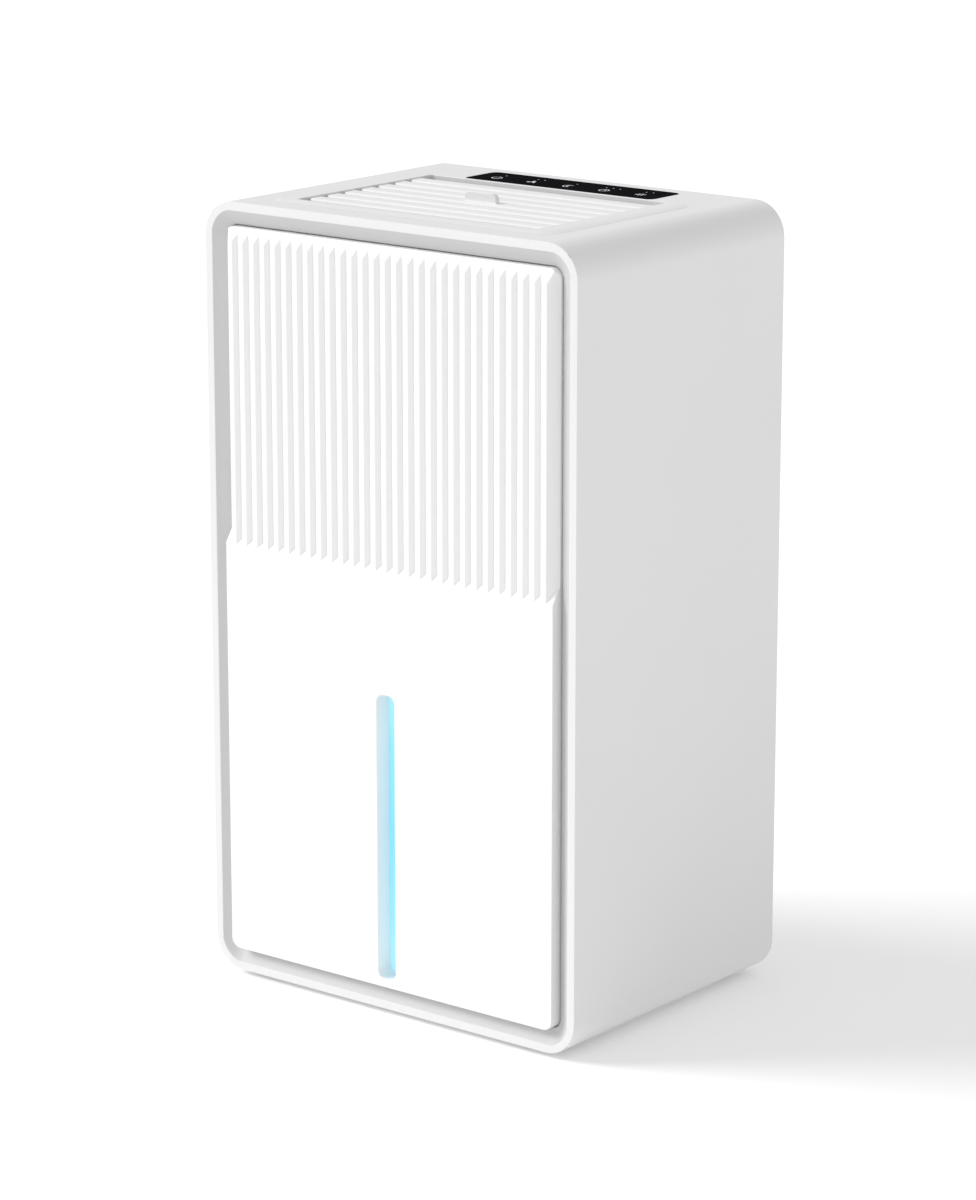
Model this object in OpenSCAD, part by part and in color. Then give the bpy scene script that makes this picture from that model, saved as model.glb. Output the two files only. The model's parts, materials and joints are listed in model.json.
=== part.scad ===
// Tower dehumidifier with a thermoelectric cooler, a rear pull-out tank and a louvred top outlet.
// Millimetres. +Z is up, the front faces -Y, and the origin is at the middle of the footprint.

/* [Body] */
// Width of the outer shell
body_w = 227; // [200:1:280]
// Depth of the outer shell
body_d = 164.5; // [150:0.5:200]
// Height of the outer shell, without its feet
body_h = 390; // [370:1:470]
// Corner radius of the shell, seen from the front
corner_r = 17.2; // [14:0.1:24]
// Thickness of the shell's walls
wall = 3; // [2.5:0.1:4]
// Height of the rubber feet under the shell
foot_h = 2.5; // [2:0.1:5]
// Radius of each rubber foot
foot_r = 9; // [6:0.5:12]

/* [Front panel] */
// Width of the shell's flat front rim
rim_w = 4.2; // [3.5:0.1:5]
// Width of the dished slope inside the rim
dish_w = 7.3; // [5:0.1:9]
// How far the dished slope goes back
dish_d = 4.4; // [3:0.1:6]
// Gap between the shell and the front panel
panel_gap = 0.6; // [0.4:0.1:1]
// How far the front panel stands in front of the rim
panel_proud = 2; // [1:0.1:3]
// Thickness of the front panel's skin
panel_skin = 4.2; // [3.6:0.1:5]
// Height of the smooth lower zone of the front panel
smooth_h = 209; // [180:1:230]
// Number of vertical flutes in the upper zone
flute_count = 28; // [12:1:28]
// Distance from one flute to the next
flute_pitch = 6.85; // [5.5:0.05:6.9]
// Width of one flute at the face
flute_w = 3.9; // [2.5:0.1:4.4]
// Depth of one flute
flute_d = 2.1; // [1:0.1:2.4]
// Height of the sloped edge along the panel's top
crest_h = 7.1; // [5:0.1:9]
// How far that sloped edge goes back
crest_d = 3.4; // [2:0.1:3.6]

/* [Light slot] */
// Width of the light slot in the front panel
slot_w = 11; // [8:0.5:14]
// Height of the light slot
slot_h = 143.8; // [100:0.2:160]
// Height of the slot's lower end above the panel's lower edge
slot_z = 4.4; // [3:0.2:12]
// Depth of the slot, from the panel's face to the light bar
slot_d = 9.6; // [8:0.1:12]

/* [Air outlet] */
// Width of the outlet's opening
outlet_w = 146; // [120:0.5:150]
// Number of louver vanes
louver_count = 7; // [7:1:7]
// Distance from one vane's pivot to the next
louver_pitch = 12.8; // [11:0.1:13]
// Thickness of a vane
vane_t = 3; // [2.4:0.1:3.6]
// Height of a vane
vane_h = 14; // [10:0.5:15]
// Width of the wide cap along a vane's upper edge
cap_w = 9; // [7:0.1:9.4]
// Thickness of a vane's cap
cap_t = 3; // [2.4:0.1:3.6]
// Depth of the vanes' upper edges below the raised frame
vane_drop = 0.6; // [0.5:0.1:3]
// Distance from the shell's front to the outlet opening
outlet_front = 21.5; // [20:0.5:26]
// Width of the raised frame at the sides of the opening
border_side = 13.5; // [12:0.5:15]
// Width of the raised frame in front of the opening
border_front = 7.5; // [6:0.5:9]
// Width of the raised frame behind the opening
border_rear = 5.6; // [5:0.1:6]
// Width of the slope around the raised frame
border_slope = 4.6; // [3:0.1:4.8]
// Height of the raised frame
border_h = 1; // [0.6:0.1:2]
// Width of the finger tab on the middle vane
tab_w = 19.4; // [12:0.2:30]
// Height of the finger tab above its vane
tab_h = 4.7; // [3:0.1:8]
// Thickness of the finger tab
tab_t = 2.8; // [2:0.1:3]

/* [Controls] */
// Width of the touch glass
glass_w = 116; // [90:1:140]
// Depth of the touch glass, front to back
glass_d = 26; // [20:0.5:26]
// Thickness of the touch glass
glass_t = 1.6; // [1.2:0.1:2]
// Distance from the shell's rear edge to the touch glass
glass_rear = 8; // [7.5:0.5:9]

/* [Tank] */
// Width of the water tank
tank_w = 186; // [150:1:195]
// Height of the water tank's walls
tank_h = 150; // [120:1:160]
// Thickness of the tank's walls
tank_wall = 2.2; // [1.8:0.1:3]
// Gap between the light housing and the tank's front wall
tank_front_gap = 3; // [2:0.5:10]
// Radius of the tank's upright corners
tank_r = 12; // [8:1:16]
// Radius of the drip inlet in the tank's lid
drip_r = 10; // [8:0.5:14]
// Radius of the level float
float_r = 14; // [10:0.5:18]
// Height of the level float
float_h = 16; // [12:0.5:20]
// How far the float rises before it stops the machine
float_travel = 8; // [5:0.5:10]

/* [Rear] */
// Thickness of the rear cover and of the panels in it
cover_t = 3.5; // [3:0.1:4]
// How far the rear cover stands behind the shell
cover_proud = 2; // [1:0.1:3]
// Width of the air inlet door
door_w = 170; // [130:1:180]
// Height of the air inlet door
door_h = 150; // [120:1:155]
// Gap around the door and the tank's face
rear_gap = 0.5; // [0.3:0.1:1]
// Distance from one inlet slot to the next
inlet_pitch = 5; // [4.5:0.1:8]
// Height of one inlet slot
inlet_slot = 2.6; // [2:0.1:3.4]

/* [Fan and cooler] */
// Side of the fan's square frame
fan_size = 92; // [80:1:94]
// Height of the fan's frame
fan_h = 25; // [20:1:28]
// Radius of the fan's hub
hub_r = 19; // [15:0.5:22]
// Number of fan blades
blade_count = 7; // [5:1:9]
// Width of the cold heat sink
cold_w = 100; // [92:1:110]
// Width of the hot heat sink
hot_w = 140; // [110:1:150]
// Height of both heat sinks
sink_h = 104; // [80:1:104]
// Distance from one heat sink fin to the next
fin_pitch = 5; // [4:0.5:8]
// Thickness of one fin
fin_t = 1.2; // [0.8:0.1:2]
// Side of one thermoelectric module
module_w = 40; // [30:1:40]
// Thickness of one thermoelectric module
module_t = 4; // [3:0.1:5]

/* [Hidden] */
$fn = 64;

// A small overlap that lets a cut run past a face.
eps = 1;
// Radial clearance of every running fit.
fit = 0.05;
// Clearance between pieces that are placed side by side.
clear = 0.3;

// Shell faces
front_y = -body_d / 2;
rear_y = body_d / 2;
floor_z = foot_h;
top_z = foot_h + body_h;
mid_z = foot_h + body_h / 2;
inner_floor_z = floor_z + wall;

// Front panel
panel_margin = rim_w + dish_w + panel_gap;
panel_w = body_w - 2 * panel_margin;
panel_h = body_h - 2 * panel_margin;
panel_r = corner_r - panel_margin;
panel_z = floor_z + panel_margin;
panel_top_z = panel_z + panel_h;
panel_front_y = front_y - panel_proud;
flute_z = panel_z + smooth_h;
flute_span = (flute_count + 1) * flute_pitch - flute_w;
side_bevel_d = 5.6;
// Rise of the slope where the flutes run out, for each millimetre of depth
runout_rise = 1.49;
ring_t = 3;
flange_y = front_y + dish_d + ring_t;
flange_t = 2;
flange_reach = 5;
flange_back_y = flange_y + flange_t;

// Light slot
slot_floor_y = panel_front_y + slot_d;
slot_low_z = panel_z + slot_z;
slot_mid_z = slot_low_z + slot_h / 2;
slot_corner_r = 4;
slot_wall = 2;
bar_t = 3;
housing_w = slot_w + 10;
housing_h = slot_h + 8;
housing_mid_z = slot_mid_z + 1;
housing_back_y = slot_floor_y + bar_t + 7;
board_t = 1.6;

// Air outlet
outlet_d = (louver_count + 1) * louver_pitch;
outlet_mid_y = front_y + outlet_front + outlet_d / 2;
outlet_r = 4;
border_r = 10;
border_mid_y = outlet_mid_y + (border_rear - border_front) / 2;
vane_top_z = top_z + border_h - vane_drop;
pivot_z = vane_top_z - vane_h / 2;
end_gap = 0.8;
vane_len = outlet_w - 2 * end_gap;
pivot_r = 1.3;
outlet_wall = 2;
crank_gap = 0.5;
crank_t = 2;
crank_drop = 6;
crank_x = outlet_w / 2 + outlet_wall + crank_gap;
crank_pin_r = 1;
link_t = 2;
link_h = 4;
link_x = crank_x + crank_t + crank_gap;
pocket_w = crank_t + link_t + 3 * crank_gap;
pocket_top_z = top_z - 0.8;
collar_w = outlet_w + 2 * (outlet_wall + pocket_w + 1);
collar_d = outlet_d + 2 * outlet_wall;
collar_depth = vane_h + 3;
middle_louver = (louver_count + 1) / 2;

// Controls
glass_mid_y = rear_y - glass_rear - glass_d / 2;
glass_r = 4;
glass_ledge = 3;
control_board_z = top_z - 12;

// Rear cover
cover_back_y = rear_y + cover_proud;
cover_y = cover_back_y - cover_t;
cover_gap = 0.4;
cover_w = body_w - 2 * (wall + cover_gap);
cover_h = body_h - 2 * (wall + cover_gap);
cover_r = corner_r - wall - cover_gap;
boss_r = 4.5;
screw_r = 1.5;
screw_head_r = 3;
screw_len = 10;
screw_x = cover_w / 2 - 5.2;
boss_len = 22;

// Tank
tray_t = 3;
tray_gap = 0.1;
tank_z = inner_floor_z + tray_t + tray_gap;
tank_front_y = housing_back_y + tank_front_gap;
tank_back_y = cover_y - 2;
tank_d = tank_back_y - tank_front_y;
tank_mid_y = (tank_front_y + tank_back_y) / 2;
tank_top_z = tank_z + tank_h;
lid_t = 2.2;
lid_rim = 3;
lid_top_z = tank_top_z + lid_t;
face_w = tank_w + 6;
face_margin = 3;
face_z = inner_floor_z + 2 + rear_gap;
face_top_z = lid_top_z + face_margin;
face_h = face_top_z - face_z;
face_r = 5;
grip_w = 90;
grip_h = 26;
grip_d = 14;
grip_z = face_top_z - 42;
float_x = tank_w / 2 - 34;
float_y = tank_mid_y - 30;
post_r = 3;
clip_t = 2;
float_headroom = 8;
post_len = clip_t + float_h + float_travel + float_headroom;
clip_r = 5;
float_z = tank_top_z - post_len + clip_t;
magnet_r = 3;
magnet_h = 4;
magnet_x = float_r - 5.5;

// Deck between the tank and the machinery
deck_t = 3;
spout_len = 8;
spout_clear = 1.5;
deck_z = lid_top_z + spout_clear + spout_len;
deck_top_z = deck_z + deck_t;
deck_w = body_w - 2 * (wall + clear);
deck_y = housing_back_y + 1;
deck_back_y = cover_y - clear;
ledge_w = 3;
drip_hole_r = 4;
screw_zs = [floor_z + 30, deck_top_z + 20, top_z - 30];

// Cooler stack, from the rear to the front
sink_z = deck_top_z + 14;
sink_top_z = sink_z + sink_h;
sink_mid_z = sink_z + sink_h / 2;
cold_base_t = 6;
hot_base_t = 7;
cold_fin_d = 30;
hot_fin_d = 50;
stack_y = 22;
cold_y = stack_y + module_t;
cold_back_y = cold_y + cold_base_t + cold_fin_d;
hot_y = stack_y - hot_base_t;
module_x = module_w / 2 + 4;
drip_tray_y = cold_y + clear;
drip_tray_back_y = cold_back_y + 4;
drip_y = (drip_tray_y + drip_tray_back_y) / 2;
clamp_x = cold_w / 2 - 4;
clamp_z = 44;
window_x = hot_w / 2 + 4;
window_w = deck_w / 2 - window_x - 6;

// Air inlet door
door_z = deck_top_z + 12;
door_top_z = door_z + door_h;
hinge_z = door_z + cover_t / 2;
hinge_y = cover_y + cover_t / 2;
hinge_pin_r = 1.2;
hinge_pin_len = 4;
door_border = 8;
filter_t = 3;

// Fan
fan_x = 0;
fan_y = outlet_mid_y;
fan_top_z = top_z - collar_depth - 4;
fan_z = fan_top_z - fan_h;
fan_bore_r = fan_size / 2 - 2;
blade_tip_gap = 1;
fan_hole_r = 2.15;
fan_screw_r = 2;
fan_hole_spacing = fan_size - 9.5;
shaft_r = 1.5;
duct_t = 3;
duct_z = fan_z - duct_t;

// Electrics
power_board_x = -body_w / 2 + wall + 6;
jack_x = -body_w / 2 + 34;
jack_z = (face_top_z + rear_gap + door_z - rear_gap) / 2;
jack_hole_r = 4.2;
jack_bore_r = 2.75;

white = [0.95, 0.95, 0.95];
light_grey = [0.82, 0.83, 0.85];
black = [0.03, 0.03, 0.035];

// ---- Shapes that repeat ----

// A rectangle with round corners, centred
module rounded_rect(w, d, r) {
    square([w - 2 * r, d], center = true);
    square([w, d - 2 * r], center = true);
    for (x = [-1, 1], y = [-1, 1])
        translate([x * (w / 2 - r), y * (d / 2 - r)]) circle(r);
}

// A block with round upright corners, centred, from z = 0 up
module rounded_block(w, d, h, r) {
    linear_extrude(h) rounded_rect(w, d, r);
}

// The same block with sloped sides, drawn in by "inset" at its top
module flared_block(w, d, h, r, inset) {
    for (x = [-1, 1], y = [-1, 1])
        translate([x * (w / 2 - r), y * (d / 2 - r), 0]) cylinder(h = h, r1 = r, r2 = r - inset);
    translate([0, d / 2 - r, 0]) rotate([90, 0, 0]) linear_extrude(d - 2 * r)
        polygon([[-w / 2, 0], [w / 2, 0], [w / 2 - inset, h], [-w / 2 + inset, h]]);
    translate([-w / 2 + r, 0, 0]) rotate([90, 0, 90]) linear_extrude(w - 2 * r)
        polygon([[-d / 2, 0], [d / 2, 0], [d / 2 - inset, h], [-d / 2 + inset, h]]);
}

// Stands a block up so that it faces the front, its local z running back from y
module upright(y, z) {
    translate([0, y, z]) rotate([-90, 0, 0]) children();
}

// A box given by its lowest and highest corners
module span(low, high) {
    translate(low) cube(high - low);
}

// A rod along +Y
module rod_y(x, y, z, r, len) {
    translate([x, y, z]) rotate([-90, 0, 0]) cylinder(h = len, r = r);
}

// A rod along +X
module rod_x(x, y, z, r, len) {
    translate([x, y, z]) rotate([0, 90, 0]) cylinder(h = len, r = r);
}

// A screw along -Y with its head at y
module screw_y(x, y, z, r, head_r, len) {
    rod_y(x, y - len, z, r, len);
    rod_y(x, y, z, head_r, 1.8);
}

// ---- Casing ----

module outer_shell() {
    color(white) difference() {
        union() {
            difference() {
                upright(front_y, mid_z) rounded_block(body_w, body_h, body_d, corner_r);
                upright(front_y + dish_d + ring_t, mid_z)
                    rounded_block(body_w - 2 * wall, body_h - 2 * wall, body_d, corner_r - wall);
            }
            for (x = [-1, 1], z = screw_zs) {
                rod_y(x * screw_x, cover_y - boss_len, z, boss_r, boss_len);
                translate([x * (screw_x + body_w / 2 - wall / 2) / 2, cover_y - boss_len / 2, z])
                    cube([body_w / 2 - wall / 2 - screw_x, boss_len, 2 * boss_r - 1], center = true);
            }
            for (x = [-1, 1], z = [deck_z, duct_z])
                translate([x * (body_w / 2 - wall / 2 - ledge_w / 2), (deck_y + deck_back_y) / 2,
                    z - ledge_w / 2]) cube([wall + ledge_w, deck_back_y - deck_y, ledge_w], center = true);
        }
        upright(front_y, mid_z)
            flared_block(body_w - 2 * rim_w, body_h - 2 * rim_w, dish_d, corner_r - rim_w, dish_w);
        upright(front_y - eps, mid_z)
            rounded_block(panel_w + 2 * panel_gap, panel_h + 2 * panel_gap,
                dish_d + ring_t + 2 * eps, panel_r + panel_gap);
        for (x = [-1, 1], z = screw_zs) rod_y(x * screw_x, cover_y - screw_len - 1, z, screw_r, 14);
        translate([0, outlet_mid_y, top_z - wall - eps])
            rounded_block(collar_w + 2 * clear, collar_d + 2 * clear, wall + 2 * eps, outlet_r);
        translate([0, glass_mid_y, top_z - glass_t])
            rounded_block(glass_w + 2 * clear, glass_d + 2 * clear, glass_t + eps, glass_r + clear);
        translate([0, glass_mid_y, top_z - wall - eps])
            rounded_block(glass_w - 2 * glass_ledge, glass_d - 2 * glass_ledge, wall, glass_r);
        for (x = [-1, 1], y = [-1, 1])
            translate([x * foot_x(), y * foot_y(), floor_z - eps]) cylinder(h = wall + 2 * eps, r = 3);
    }
}

// The plane that the flutes and side bevels run out on, as the space above it
module above_runout() {
    deep = 20;
    translate([-panel_w / 2 - eps, 0, 0]) rotate([90, 0, 90]) linear_extrude(panel_w + 2 * eps)
        polygon([
            [panel_front_y, flute_z],
            [panel_front_y + deep, flute_z + deep * runout_rise],
            [panel_front_y + deep, panel_top_z + eps],
            [panel_front_y - eps, panel_top_z + eps],
            [panel_front_y - eps, flute_z - eps * runout_rise]
        ]);
}

module flutes() {
    half = flute_w / 2;
    for (i = [0 : flute_count - 1])
        translate([(i - (flute_count - 1) / 2) * flute_pitch, panel_front_y, flute_z - eps])
            linear_extrude(panel_h) polygon([
                [-half - half / flute_d, -1], [half + half / flute_d, -1], [0, flute_d]
            ]);
}

module side_bevels() {
    run = (panel_w - flute_span) / 2;
    for (s = [-1, 1]) translate([0, panel_front_y, flute_z - eps]) linear_extrude(panel_h)
        polygon([
            [s * (panel_w / 2 + run), 2 * side_bevel_d], [s * (panel_w / 2 + run), -1],
            [s * (flute_span / 2), -1], [s * (flute_span / 2), 0]
        ]);
}

module top_bevel() {
    translate([-panel_w / 2 - eps, 0, 0]) rotate([90, 0, 90]) linear_extrude(panel_w + 2 * eps)
        polygon([
            [panel_front_y - 1, panel_top_z - crest_h - crest_h / crest_d],
            [panel_front_y + 2 * crest_d, panel_top_z + crest_h],
            [panel_front_y - 1, panel_top_z + crest_h]
        ]);
}

module front_panel() {
    inner_w = flute_span;
    color(white) difference() {
        union() {
            upright(panel_front_y, mid_z)
                rounded_block(panel_w, panel_h, flange_y - panel_front_y, panel_r);
            upright(flange_y, mid_z) rounded_block(panel_w + 2 * flange_reach,
                panel_h + 2 * flange_reach, flange_t, panel_r + flange_reach);
        }
        intersection() {
            union() {
                flutes();
                side_bevels();
                top_bevel();
            }
            above_runout();
        }
        difference() {
            upright(panel_front_y + panel_skin, mid_z)
                rounded_block(inner_w, panel_h - 10, 20, panel_r);
            upright(panel_front_y, slot_mid_z)
                rounded_block(slot_w + 2 * slot_wall, slot_h + 2 * slot_wall, slot_d,
                    slot_corner_r + slot_wall);
        }
        upright(panel_front_y - eps, slot_mid_z)
            rounded_block(slot_w, slot_h, slot_d + 2 * eps, slot_corner_r);
        span([-housing_w / 2 - clear, slot_floor_y, housing_mid_z - housing_h / 2 - clear],
            [housing_w / 2 + clear, flange_back_y + eps, housing_mid_z + housing_h / 2 + clear]);
    }
}

module light_bar() {
    color([0.55, 0.85, 1.0]) upright(slot_floor_y, slot_mid_z)
        rounded_block(slot_w + 3, slot_h + 3, bar_t, slot_corner_r + 1.5);
}

module light_housing() {
    color(white) difference() {
        span([-housing_w / 2, slot_floor_y, housing_mid_z - housing_h / 2],
            [housing_w / 2, housing_back_y, housing_mid_z + housing_h / 2]);
        span([-slot_w / 2 - 1.6, slot_floor_y - eps, slot_low_z - 1.6],
            [slot_w / 2 + 1.6, housing_back_y - 2, slot_low_z + slot_h + 1.6]);
    }
}

module light_board() {
    led_count = 12;
    board_y = housing_back_y - 2 - board_t;
    color([0.9, 0.9, 0.85]) {
        span([-slot_w / 2, board_y, slot_low_z + 1], [slot_w / 2, housing_back_y - 2,
            slot_low_z + slot_h - 1]);
        for (i = [0 : led_count - 1])
            span([-1.75, board_y - 1.4, slot_low_z + (i + 0.5) * slot_h / led_count - 1.4],
                [1.75, board_y, slot_low_z + (i + 0.5) * slot_h / led_count + 1.4]);
    }
}

// ---- Air outlet ----

module outlet_border() {
    translate([0, border_mid_y, top_z])
        flared_block(outlet_w + 2 * border_side, outlet_d + border_front + border_rear, border_h,
            border_r, border_slope);
}

module outlet_frame() {
    color(white) difference() {
        union() {
            outlet_border();
            translate([0, outlet_mid_y, top_z - collar_depth])
                rounded_block(collar_w, collar_d, collar_depth + border_h / 2, outlet_r);
        }
        translate([0, outlet_mid_y, top_z - collar_depth - eps])
            rounded_block(outlet_w, outlet_d, collar_depth + border_h + 2 * eps,
                outlet_r - outlet_wall);
        for (k = [1 : louver_count])
            rod_x(-outlet_w / 2 - outlet_wall - 1, louver_y(k), pivot_z, pivot_r + fit,
                outlet_w + 2 * outlet_wall + 2);
        for (x = [-1, 1])
            translate([x * (outlet_w / 2 + outlet_wall + pocket_w / 2), outlet_mid_y,
                pocket_top_z - collar_depth])
                cube([pocket_w, outlet_d, 2 * collar_depth], center = true);
    }
}

function louver_y(k) = outlet_mid_y + (k - middle_louver) * louver_pitch;

module finger_tab() {
    tip_z = vane_top_z + tab_h;
    translate([0, louver_y(middle_louver) + tab_t / 2, (pivot_z + tip_z) / 2])
        rotate([90, 0, 0]) linear_extrude(tab_t) rounded_rect(tab_w, tip_z - pivot_z, 3);
}

module louver(k) {
    y = louver_y(k);
    pin_z = pivot_z - crank_drop;
    stub_x = outlet_w / 2 + outlet_wall;
    color(white) {
        translate([-vane_len / 2, y, pivot_z]) rotate([90, 0, 90])
            linear_extrude(vane_len) rounded_rect(vane_t, vane_h, vane_t / 2 - 0.1);
        translate([-vane_len / 2, y, vane_top_z - cap_t / 2]) rotate([90, 0, 90])
            linear_extrude(vane_len) rounded_rect(cap_w, cap_t, cap_t / 2 - 0.1);
        rod_x(-stub_x, y, pivot_z, pivot_r, crank_x + stub_x + crank_t);
        rod_x(crank_x, y, pivot_z, pivot_r + 0.8, crank_t);
        span([crank_x, y - pivot_r, pin_z], [crank_x + crank_t, y + pivot_r, pivot_z]);
        rod_x(crank_x, y, pin_z, pivot_r + 0.5, crank_t);
        rod_x(crank_x, y, pin_z, crank_pin_r, crank_t + crank_gap + link_t);
        if (k == middle_louver) finger_tab();
    }
}

module louver_link() {
    link_z = pivot_z - crank_drop;
    color(light_grey) difference() {
        translate([link_x, outlet_mid_y, link_z]) rotate([90, 0, 90]) linear_extrude(link_t)
            rounded_rect((louver_count - 1) * louver_pitch + link_h + 2, link_h, link_h / 2 - 0.1);
        for (k = [1 : louver_count])
            rod_x(link_x - eps, louver_y(k), link_z, crank_pin_r + fit, link_t + 2 * eps);
    }
}

// ---- Controls ----

module touch_glass() {
    color(black) translate([0, glass_mid_y, top_z - glass_t])
        rounded_block(glass_w, glass_d, glass_t, glass_r);
}

module control_board() {
    key_count = 5;
    color([0.1, 0.35, 0.2]) {
        span([-glass_w / 2 + 6, glass_mid_y - glass_d / 2 + 4, control_board_z],
            [glass_w / 2 - 6, glass_mid_y + glass_d / 2 - 4, control_board_z + board_t]);
        for (i = [0 : key_count - 1])
            translate([(i - (key_count - 1) / 2) * glass_w / 6, glass_mid_y, control_board_z])
                cylinder(h = top_z - glass_t - control_board_z, r = 4);
        translate([glass_w / 2 - 14, glass_mid_y, control_board_z - 5]) cylinder(h = 5, r = 5);
    }
}

// ---- Rear ----

module rear_cover() {
    color(white) difference() {
        upright(cover_y, mid_z) rounded_block(cover_w, cover_h, cover_t, cover_r);
        upright(cover_y - eps, (face_z + face_top_z) / 2) rounded_block(face_w + 2 * rear_gap,
            face_h + 2 * rear_gap, cover_t + 2 * eps, face_r + rear_gap);
        span([-door_w / 2 - rear_gap, cover_y - eps, door_z - rear_gap],
            [door_w / 2 + rear_gap, cover_back_y + eps, door_top_z + rear_gap]);
        rod_x(-door_w / 2 - hinge_pin_len - rear_gap, hinge_y, hinge_z, hinge_pin_r + fit,
            door_w + 2 * (hinge_pin_len + rear_gap));
        rod_y(jack_x, cover_y - eps, jack_z, jack_hole_r, cover_t + 2 * eps);
        for (x = [-1, 1], z = screw_zs) {
            rod_y(x * screw_x, cover_y - eps, z, screw_r + 0.2, cover_t + 2 * eps);
            rod_y(x * screw_x, cover_back_y - 2, z, screw_head_r + 0.2, 2 + eps);
        }
    }
}

module rear_screws() {
    color([0.6, 0.6, 0.62]) for (x = [-1, 1], z = screw_zs)
        screw_y(x * screw_x, cover_back_y - 2, z, screw_r - fit, screw_head_r, screw_len);
}

module inlet_door() {
    grille_z = door_z + cover_t + door_border;
    grille_top_z = door_top_z - door_border - 12;
    slot_rows = floor((grille_top_z - grille_z) / inlet_pitch);
    color(white) difference() {
        union() {
            span([-door_w / 2, cover_y, hinge_z], [door_w / 2, cover_back_y, door_top_z]);
            rod_x(-door_w / 2, hinge_y, hinge_z, cover_t / 2, door_w);
            rod_x(-door_w / 2 - hinge_pin_len, hinge_y, hinge_z, hinge_pin_r,
                door_w + 2 * hinge_pin_len);
        }
        for (i = [0 : slot_rows - 1], s = [-1, 1])
            translate([s * (door_w / 4 - 1), cover_y - eps,
                grille_z + i * inlet_pitch + inlet_slot / 2]) rotate([-90, 0, 0])
                rounded_block(door_w / 2 - 2 * door_border, inlet_slot, cover_t + 2 * eps,
                    inlet_slot / 2 - 0.1);
        translate([0, cover_back_y + 9.5, door_top_z - 10]) sphere(12);
    }
}

module inlet_filter() {
    w = door_w - 8;
    low = door_z + cover_t + 4;
    high = door_top_z - 16;
    color([0.45, 0.47, 0.5]) difference() {
        span([-w / 2, cover_y - filter_t, low], [w / 2, cover_y, high]);
        for (i = [0 : 3])
            span([-w / 2 + 4 + i * (w - 4) / 4, cover_y - filter_t - eps, low + 4],
                [-w / 2 + (i + 1) * (w - 4) / 4, cover_y - filter_t + 1, high - 4]);
    }
}

// ---- Water tank ----

// The space the grip's pocket takes out of the tank, grown by "extra"
module grip_recess(extra) {
    span([-grip_w / 2 - 3 - extra, tank_back_y - grip_d - extra, grip_z - 3 - extra],
        [grip_w / 2 + 3 + extra, tank_back_y, tank_top_z]);
}

module tank_body() {
    color([0.85, 0.9, 0.93, 0.6]) difference() {
        union() {
            difference() {
                translate([0, tank_mid_y, tank_z]) rounded_block(tank_w, tank_d, tank_h, tank_r);
                translate([0, tank_mid_y, tank_z + tank_wall])
                    rounded_block(tank_w - 2 * tank_wall, tank_d - 2 * tank_wall, tank_h,
                        tank_r - tank_wall);
            }
            grip_recess(tank_wall);
        }
        span([-grip_w / 2 - 3, tank_back_y - grip_d, grip_z - 3],
            [grip_w / 2 + 3, tank_back_y + eps, tank_top_z + eps]);
    }
}

module tank_face() {
    rib_x = grip_w / 2 + 20;
    color(white) difference() {
        union() {
            upright(cover_y, (face_z + face_top_z) / 2) rounded_block(face_w, face_h, cover_t, face_r);
            span([-grip_w / 2 - 2.5, tank_back_y - grip_d + 0.5, grip_z - 2.5],
                [grip_w / 2 + 2.5, cover_y, grip_z + grip_h + 2.5]);
            for (x = [-1, 1])
                span([x * rib_x - 2, tank_back_y, tank_z + 10], [x * rib_x + 2, cover_y, tank_top_z - 10]);
        }
        span([-grip_w / 2, tank_back_y - grip_d + 3, grip_z],
            [grip_w / 2, cover_back_y + eps, grip_z + grip_h]);
    }
}

module tank_lid() {
    color(light_grey) difference() {
        union() {
            translate([0, tank_mid_y, tank_top_z]) rounded_block(tank_w, tank_d, lid_t, tank_r);
            translate([0, tank_mid_y, tank_top_z - lid_rim]) difference() {
                rounded_block(tank_w - 2 * tank_wall - clear, tank_d - 2 * tank_wall - clear,
                    lid_rim, tank_r - tank_wall - clear / 2);
                translate([0, 0, -eps]) rounded_block(tank_w - 2 * tank_wall - 5,
                    tank_d - 2 * tank_wall - 5, lid_rim + eps, tank_r - tank_wall - 2);
            }
            translate([float_x, float_y, tank_top_z - post_len]) cylinder(h = post_len, r = post_r);
        }
        translate([0, drip_y, tank_top_z - eps]) cylinder(h = lid_t + 2 * eps, r = drip_r);
        span([-grip_w / 2 - 3, tank_back_y - grip_d, tank_top_z - eps],
            [grip_w / 2 + 3, tank_back_y + eps, lid_top_z + eps]);
        grip_recess(tank_wall + clear);
    }
}

module tank_float() {
    color([0.9, 0.5, 0.2]) translate([float_x, float_y, float_z]) difference() {
        cylinder(h = float_h, r = float_r);
        translate([0, 0, -eps]) cylinder(h = float_h + 2 * eps, r = post_r + fit);
        translate([magnet_x, 0, float_h - magnet_h - 1]) cylinder(h = magnet_h, r = magnet_r);
    }
}

module float_magnet() {
    color([0.3, 0.3, 0.32]) translate([float_x + magnet_x, float_y, float_z + float_h - magnet_h - 1])
        cylinder(h = magnet_h, r = magnet_r);
}

module float_clip() {
    color(light_grey) translate([float_x, float_y, tank_top_z - post_len - 1]) difference() {
        cylinder(h = clip_t + 1, r = clip_r);
        translate([0, 0, 1]) cylinder(h = clip_t + eps, r = post_r);
    }
}

// ---- Inner structure ----

// The shell's inner space, narrowed so that what lies in it clears the rounded lower corners
module floor_space() {
    upright(front_y + dish_d + ring_t, mid_z)
        rounded_block(body_w - 2 * (wall + clear), body_h - 2 * wall, body_d, corner_r - wall);
}

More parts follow.
